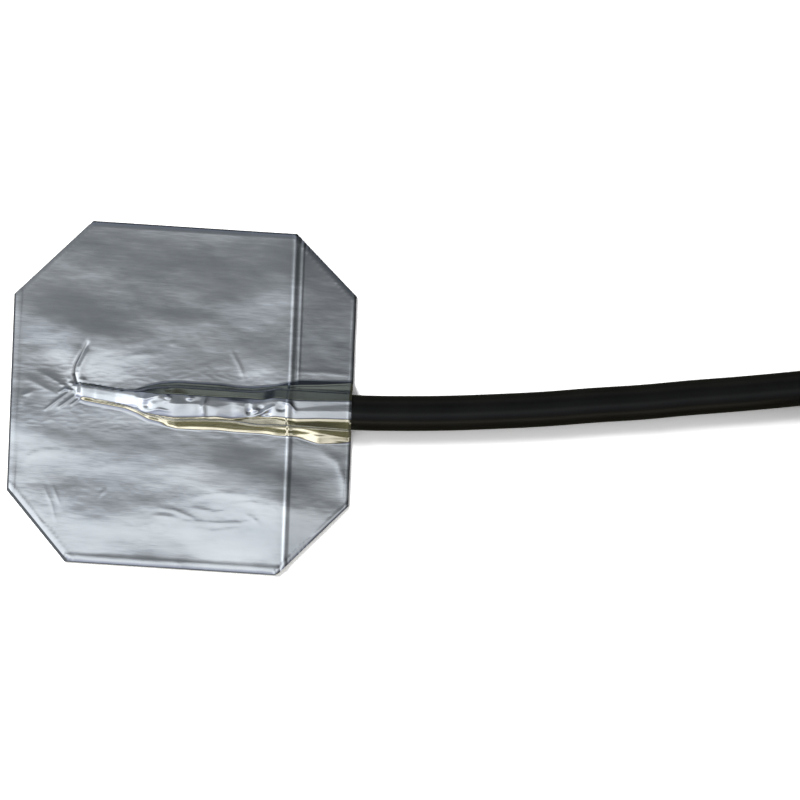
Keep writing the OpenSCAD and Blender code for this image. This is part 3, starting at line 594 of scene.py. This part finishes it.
# The cells of the sheet's grid along X and across it, and how they are spread: places, and
# how dense the cells are there, as compared with the other places
CELLS = (255, 203)
COLUMNS = ((-26, 3.5), (-20.5, 3.5), (-19, 9), (-13.5, 9), (-13, 5), (14.8, 5), (15.2, 9),
           (17.2, 9), (17.6, 4), (24, 4), (24.3, 6), (26, 6))
ROWS = ((-26, 1.9), (-20, 1.9), (-19.3, 4.2), (-13.4, 4.2), (-12.8, 1.9), (-5.9, 2.4),
        (-5.3, 10.5), (3.6, 10.5), (4.8, 5), (7.5, 3), (26, 1.6))
DENSITY_STEPS = 2000


def spread(t, table):
    """Moves evenly spaced values between 0 and 1 to places as dense as the table has it."""
    at = np.linspace(table[0][0], table[-1][0], DENSITY_STEPS)
    total = np.cumsum(np.interp(at, *zip(*table)))
    return np.interp(t, (total - total[0]) / (total[-1] - total[0]), at)


def cut_grid():
    """A flat grid, denser where the sheet has fine forms, cut along the foil's edges."""
    bm = bmesh.new()
    bmesh.ops.create_grid(bm, x_segments=CELLS[0], y_segments=CELLS[1], size=0.5)
    x = spread(np.array([v.co.x for v in bm.verts]) + 0.5, COLUMNS)
    y = spread(np.array([v.co.y for v in bm.verts]) + 0.5, ROWS)
    for v, a, b in zip(bm.verts, x, y):
        v.co = (a, b, 0)
    for (ax, ay), (bx, by), (out, _, _) in foil_edges():
        outward = Vector((ay - by, bx - ax, 0)).normalized()
        everything = bm.verts[:] + bm.edges[:] + bm.faces[:]
        bmesh.ops.bisect_plane(bm, geom=everything, dist=1e-5,
                               plane_co=Vector((ax, ay, 0)) + outward * out,
                               plane_no=outward, clear_outer=True)
    return bm


def make_cover():
    """The sheet raised to its form, clear of what is under it, and given its thickness."""
    bm = cut_grid()
    x = np.array([v.co.x for v in bm.verts])
    y = np.array([v.co.y for v in bm.verts])
    z = np.maximum(foil_height(x, y), FLAT_Z) + edge_height(x, y)
    z = np.maximum(z, inner_tops(x, y))
    for v, h in zip(bm.verts, z):
        v.co.z = h
    bmesh.ops.scale(bm, vec=(MM, MM, MM), verts=bm.verts)
    bm.normal_update()
    bm.faces.ensure_lookup_table()
    if bm.faces[0].normal.z < 0:
        bmesh.ops.reverse_faces(bm, faces=bm.faces)
    bmesh.ops.solidify(bm, geom=bm.faces[:], thickness=-COVER_T * MM)
    return finished("cover_sheet", bm, sharp=50)


cover = make_cover()
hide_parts("cover_foil")
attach(cover, "root")


# Materials
def linear(hex_colour):
    """An sRGB hex value as Blender's linear colour."""
    parts = [int(hex_colour[i:i + 2], 16) / 255 for i in (1, 3, 5)]
    return tuple(c / 12.92 if c <= 0.04045 else ((c + 0.055) / 1.055) ** 2.4
                 for c in parts) + (1.0,)


def node(tree, kind, settings=None, links=None):
    """Adds a node, sets its sockets and properties and its links, and returns it."""
    made = tree.nodes.new(kind)
    for name, value in (settings or {}).items():
        if isinstance(name, int) or name in made.inputs:
            made.inputs[name].default_value = value
        else:
            setattr(made, name, value)
    for name, source in (links or {}).items():
        tree.links.new(source, made.inputs[name])
    return made


def material(name, colour, metallic, roughness, **sockets):
    """A plain finish. Its other sockets are given with _ in place of spaces."""
    made = bpy.data.materials.new(name)
    made.use_nodes = True
    shader = made.node_tree.nodes["Principled BSDF"]
    shader.inputs["Base Color"].default_value = linear(colour)
    shader.inputs["Metallic"].default_value = metallic
    shader.inputs["Roughness"].default_value = roughness
    for label, value in sockets.items():
        shader.inputs[label.replace("_", " ")].default_value = value
    return made


def cloud(tree, size_mm, stretch, detail):
    """Noise with patches of about the given size, longer along an axis by its stretch."""
    place = node(tree, "ShaderNodeTexCoord")
    turn = node(tree, "ShaderNodeMapping", {"Scale": [1 / s for s in stretch]},
                {"Vector": place.outputs["Object"]})
    return node(tree, "ShaderNodeTexNoise", {"Scale": 1 / MM / size_mm, "Detail": detail},
                {"Vector": turn.outputs["Vector"]})


def mottle(finish, dark, light, size_mm, stretch=(1, 1, 1)):
    """A slow change between two colours, with patches of about the given size."""
    tree = finish.node_tree
    ramp = node(tree, "ShaderNodeValToRGB",
                links={"Fac": cloud(tree, size_mm, stretch, 4).outputs["Fac"]})
    for stop, place, colour in zip(ramp.color_ramp.elements, (0.3, 0.7), (dark, light)):
        stop.position = place
        stop.color = linear(colour)
    tree.links.new(ramp.outputs["Color"], tree.nodes["Principled BSDF"].inputs["Base Color"])


def grain(finish, size_mm, height_mm, stretch=(1, 1, 1), detail=3):
    """Fine relief of the given size and height."""
    tree = finish.node_tree
    bump = node(tree, "ShaderNodeBump", {"Distance": height_mm * MM},
                {"Height": cloud(tree, size_mm, stretch, detail).outputs["Fac"]})
    tree.links.new(bump.outputs["Normal"], tree.nodes["Principled BSDF"].inputs["Normal"])


# Rolled aluminium foil: bright, with fine lines along the way that it was rolled
foil_mat = material("rolled_aluminium_foil", "#d9dbde", 1.0, 0.15)
mottle(foil_mat, "#c9ccd0", "#e0e2e4", 6, (3, 1, 1))
grain(foil_mat, 0.9, 0.012, (5, 1, 1), 5)

# The lower foil lies with its rolled dull side up, which gives its roughness. Its colour is darkened
# past that, as painted shade for the shadow along the patch's edges where this foil shows
dull_foil_painted_shade_mat = material("dull_aluminium_foil_painted_shade", "#74777b", 1.0, 0.3)
mottle(dull_foil_painted_shade_mat, "#6a6d71", "#7e8185", 3)
grain(dull_foil_painted_shade_mat, 0.5, 0.008)

# Soft PVC jacket: black, extruded, with a low satin shine
jacket_mat = material("black_pvc_jacket", "#101010", 0.0, 0.3, Specular_IOR_Level=0.28)
mottle(jacket_mat, "#0e0e0e", "#131312", 5)
grain(jacket_mat, 0.5, 0.01)

# Siliconised kraft paper: smooth, off-white, faintly mottled
liner_mat = material("siliconised_kraft_paper", "#e6dfcc", 0.0, 0.45)
mottle(liner_mat, "#ded6c1", "#ece6d6", 1.5)
grain(liner_mat, 0.3, 0.01)

# Acrylic adhesive film: clear and tacky, a little yellow
glue_mat = material("acrylic_adhesive_film", "#d9d8cc", 0.0, 0.25)
mottle(glue_mat, "#d2d0c0", "#dfded4", 2)

# Fired alumina: white, fine-grained, matt
alumina_mat = material("fired_alumina", "#eeede8", 0.0, 0.6)
mottle(alumina_mat, "#e8e6e0", "#f2f1ee", 0.4)

# Platinum film: dull grey metal, screen-printed
platinum_mat = material("platinum_film", "#b9b7b2", 1.0, 0.4)
mottle(platinum_mat, "#aaa8a3", "#c2c0bc", 0.2)

# Fired glass glaze: pale, glossy
glaze_mat = material("fired_glass_glaze", "#cfdcdd", 0.0, 0.1)
mottle(glaze_mat, "#c5d3d5", "#d8e2e3", 0.5)

# Nickel lead wire: drawn, with lines along it
wire_mat = material("drawn_nickel_wire", "#c3c1bb", 1.0, 0.3)
mottle(wire_mat, "#b5b3ad", "#cbc9c4", 0.5, (4, 1, 1))

# Fluoropolymer sleeve: milky, waxy
sleeve_mat = material("fluoropolymer_sleeve", "#e9e5da", 0.0, 0.4)
mottle(sleeve_mat, "#e3dfd3", "#efece3", 0.8)

# Tinned brass crimp: warm grey metal, pressed
crimp_mat = material("tinned_brass_crimp", "#cbbf9f", 1.0, 0.35)
mottle(crimp_mat, "#bfb293", "#d3c9ad", 0.8)

# Polyolefin shrink tube: black, matt, slightly orange-peeled by the heat
shrink_mat = material("polyolefin_shrink_tube", "#202021", 0.0, 0.5)
mottle(shrink_mat, "#1b1b1c", "#262627", 1.5)
grain(shrink_mat, 0.6, 0.02)

# Moulded nylon: the cable tie
nylon_mat = material("moulded_black_nylon", "#1c1c1d", 0.0, 0.38)
mottle(nylon_mat, "#181819", "#232324", 2)
grain(nylon_mat, 0.25, 0.01)

# PVC core insulation: glossy, extruded
red_mat = material("red_pvc_insulation", "#b4201c", 0.0, 0.3)
mottle(red_mat, "#a81c18", "#bd2722", 2)
white_mat = material("white_pvc_insulation", "#e7e6e1", 0.0, 0.3)
mottle(white_mat, "#dfded8", "#edece8", 2)

# Annealed copper: the cores' strands
copper_mat = material("annealed_copper", "#c4765a", 1.0, 0.32)
mottle(copper_mat, "#b56a4f", "#cf8668", 0.4, (5, 1, 1))

# Tinned copper ferrule: bright, drawn
ferrule_mat = material("tinned_copper_ferrule", "#cfcdc8", 1.0, 0.25)
mottle(ferrule_mat, "#c3c1bb", "#d7d5d0", 0.8)

# Polypropylene collar: moulded, orange
collar_mat = material("orange_polypropylene_collar", "#d6721f", 0.0, 0.35)
mottle(collar_mat, "#cc6a1a", "#de7b27", 1.5)
grain(collar_mat, 0.3, 0.008)

FINISH = {
    "base_foil": dull_foil_painted_shade_mat, "liner_main": liner_mat, "liner_strip": liner_mat,
    "contact_film": glue_mat, "bond_film": glue_mat, "chip_substrate": alumina_mat,
    "chip_track": platinum_mat, "chip_glass": glaze_mat, "lead_glass": glaze_mat,
    "lead_left": wire_mat, "lead_right": wire_mat, "lead_sleeve_left": sleeve_mat,
    "lead_sleeve_right": sleeve_mat, "splice_left": crimp_mat, "splice_right": crimp_mat,
    "shrink_tube": shrink_mat, "coil_tie": nylon_mat,
}
for k in range(1, 5):
    FINISH[f"core_{k}"] = red_mat if k < 3 else white_mat
    FINISH[f"conductor_{k}"] = copper_mat
    FINISH[f"ferrule_{k}"] = ferrule_mat
    FINISH[f"ferrule_collar_{k}"] = collar_mat


def dress(thing, finish):
    """Gives a piece its finish, in each slot that it has."""
    if thing.material_slots:
        for place in thing.material_slots:
            place.material = finish
    else:
        thing.data.materials.append(finish)


for name, finish in FINISH.items():
    dress(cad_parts[name], finish)
dress(cover, foil_mat)
dress(jacket, jacket_mat)
for k, core in enumerate(cores):
    dress(core, red_mat if k < 2 else white_mat)


# Floor: white, and brighter to the camera, so that it shows as plain white and still takes
# the shadow. To what mirrors it, it glows instead with a painted reflection, dull olive and
# brighter on its lower side, which darkens the foil's steep flanks and edges. These lengths
# are in metres
FLOOR_HALF = 3
FLOOR_GAP = 0.00002
FLOOR_TONE, SEEN_TONE = 0.85, 1.7
# Colours of the painted reflection on the floor's lower and upper side, and the width of the change
# between them
PAINTED_REFLECTION_LOW, PAINTED_REFLECTION_HIGH = "#4c4a38", "#3a392c"
PAINTED_REFLECTION_TURN = 0.02


def floor_with_painted_reflection():
    """White to the lamps, brighter to the camera, and a glowing painted reflection, dull olive, to
    what mirrors it.
    """
    finish = bpy.data.materials.new("white_floor_with_painted_reflection")
    finish.use_nodes = True
    tree = finish.node_tree
    tree.nodes.clear()
    rays = node(tree, "ShaderNodeLightPath")
    tone = node(tree, "ShaderNodeMapRange", {"To Min": FLOOR_TONE, "To Max": SEEN_TONE},
                {"Value": rays.outputs["Is Camera Ray"]})
    paint = node(tree, "ShaderNodeBsdfDiffuse", links={"Color": tone.outputs[0]})
    place = node(tree, "ShaderNodeTexCoord")
    parts = node(tree, "ShaderNodeSeparateXYZ", links={"Vector": place.outputs["Object"]})
    side = node(tree, "ShaderNodeMapRange", {"From Min": -PAINTED_REFLECTION_TURN, "From Max": PAINTED_REFLECTION_TURN},
                {"Value": parts.outputs["Y"]})
    ramp = node(tree, "ShaderNodeValToRGB", links={"Fac": side.outputs[0]})
    for stop, colour in zip(ramp.color_ramp.elements, (PAINTED_REFLECTION_LOW, PAINTED_REFLECTION_HIGH)):
        stop.color = linear(colour)
    # The painted reflection: a glow that only mirrored rays see, brighter towards -Y
    table = node(tree, "ShaderNodeEmission", links={"Color": ramp.outputs["Color"]})
    both = node(tree, "ShaderNodeMixShader", links={
        0: rays.outputs["Is Glossy Ray"], 1: paint.outputs[0], 2: table.outputs[0]})
    node(tree, "ShaderNodeOutputMaterial", links={"Surface": both.outputs[0]})
    return finish


def make_floor():
    """A wide floor just under the part."""
    bm = bmesh.new()
    bmesh.ops.create_grid(bm, x_segments=1, y_segments=1, size=FLOOR_HALF)
    mesh = bpy.data.meshes.new("floor")
    bm.to_mesh(mesh)
    bm.free()
    made = bpy.data.objects.new("floor", mesh)
    made.location.z = -FLOOR_GAP
    scene.collection.objects.link(made)
    made.data.materials.append(floor_with_painted_reflection())
    return made


make_floor()


# Light: one soft key lamp from the upper left, which the foil doesn't mirror. Its place, size
# and target are in metres, its power in watts
KEY_PLACE, KEY_TARGET = Vector((-0.45, 0.40, 0.62)), Vector((0.03, 0, 0))
KEY_SIZE = 0.28
KEY_POWER = 6.0


def soft_key():
    """The key lamp, turned to its target."""
    lamp = bpy.data.lights.new("key", "AREA")
    lamp.shape = "RECTANGLE"
    lamp.size = lamp.size_y = KEY_SIZE
    lamp.energy = KEY_POWER
    made = bpy.data.objects.new("key", lamp)
    made.location = KEY_PLACE
    made.rotation_euler = (KEY_TARGET - KEY_PLACE).to_track_quat("-Z", "Y").to_euler()
    made.visible_glossy = False
    scene.collection.objects.link(made)


soft_key()

# The room lights the part evenly. The foil mirrors these colours of it, by the angle from
# straight up, in degrees, with a gain where they are brighter than white. Across the cable,
# from the lower side, which is bright and warm, to the upper side, which is dark
ACROSS = [
    (-90, "#7a7553"), (-74, "#7d7856"), (-71, "#8d8862"), (-68.5, "#fff6dc", 1.5),
    (-61.5, "#fff6dc", 1.5), (-57, "#7d7856"), (-50, "#7c7868"), (-36, "#9498a6"),
    (-22, "#c4c9d8"), (-14, "#f4f8fc"), (-5, "#eef4f8"), (-3.2, "#e4e9ee"), (-2.2, "#adb1b6"),
    (0.6, "#a8acb0"), (1.7, "#8b8e90"), (4, "#7c7f82"), (18, "#6e7379"), (32, "#777c88"),
    (38, "#42474f"), (44, "#2b3038"), (54, "#262b33"), (68, "#626864"), (78, "#868b82"),
    (90, "#868b82"),
]
# and along it, from the left, which is brighter, to the right
ALONG = [
    (-90, "#d0d0d0"), (-60, "#ffffff"), (-46, "#f8f8f8"), (-40, "#dcdcdc"), (-28, "#d0d0d0"),
    (-14, "#c8c8c8"), (-9, "#c0c0c0"), (-3.3, "#bcbcbc"), (-1.9, "#a8a8a8"), (0, "#a0a0a0"),
    (14, "#909090"), (40, "#505050"), (90, "#444444"),
]
MIRRORED_LEVEL = 2.2
ROOM_LEVEL = 0.5


def set_stop(stop, degrees, colour, gain=1):
    stop.position = 0.5 + degrees / 180
    stop.color = [part * gain for part in linear(colour)]


def by_angle(tree, toward, stops):
    """Colours by the angle from straight up toward an axis, from -90 to 90 degrees."""
    angle = node(tree, "ShaderNodeMath", {"operation": "ARCSINE"}, {0: toward})
    share = node(tree, "ShaderNodeMath", {"operation": "MULTIPLY_ADD", 1: 1 / math.pi, 2: 0.5},
                 {0: angle.outputs[0]})
    ramp = node(tree, "ShaderNodeValToRGB", links={"Fac": share.outputs[0]})
    while len(ramp.color_ramp.elements) < len(stops):
        ramp.color_ramp.elements.new(0.5)
    for stop, given in zip(ramp.color_ramp.elements, stops):
        set_stop(stop, *given)
    return ramp.outputs["Color"]


def make_room():
    """A world that lights evenly, and shows its colours only where it is mirrored."""
    world = bpy.data.worlds.new("room")
    world.use_nodes = True
    tree = world.node_tree
    tree.nodes.clear()
    way = node(tree, "ShaderNodeTexCoord")
    parts = node(tree, "ShaderNodeSeparateXYZ", links={"Vector": way.outputs["Generated"]})
    level = node(tree, "ShaderNodeMath", {"operation": "MULTIPLY", 1: MIRRORED_LEVEL},
                 {0: by_angle(tree, parts.outputs["X"], ALONG)})
    mirrored = node(tree, "ShaderNodeBackground", links={
        "Color": by_angle(tree, parts.outputs["Y"], ACROSS), "Strength": level.outputs[0]})
    plain = node(tree, "ShaderNodeBackground", {"Color": (1, 1, 1, 1), "Strength": ROOM_LEVEL})
    rays = node(tree, "ShaderNodeLightPath")
    either = node(tree, "ShaderNodeMixShader", links={
        0: rays.outputs["Is Glossy Ray"], 1: plain.outputs[0], 2: mirrored.outputs[0]})
    node(tree, "ShaderNodeOutputWorld", links={"Surface": either.outputs[0]})
    return world


scene.world = make_room()
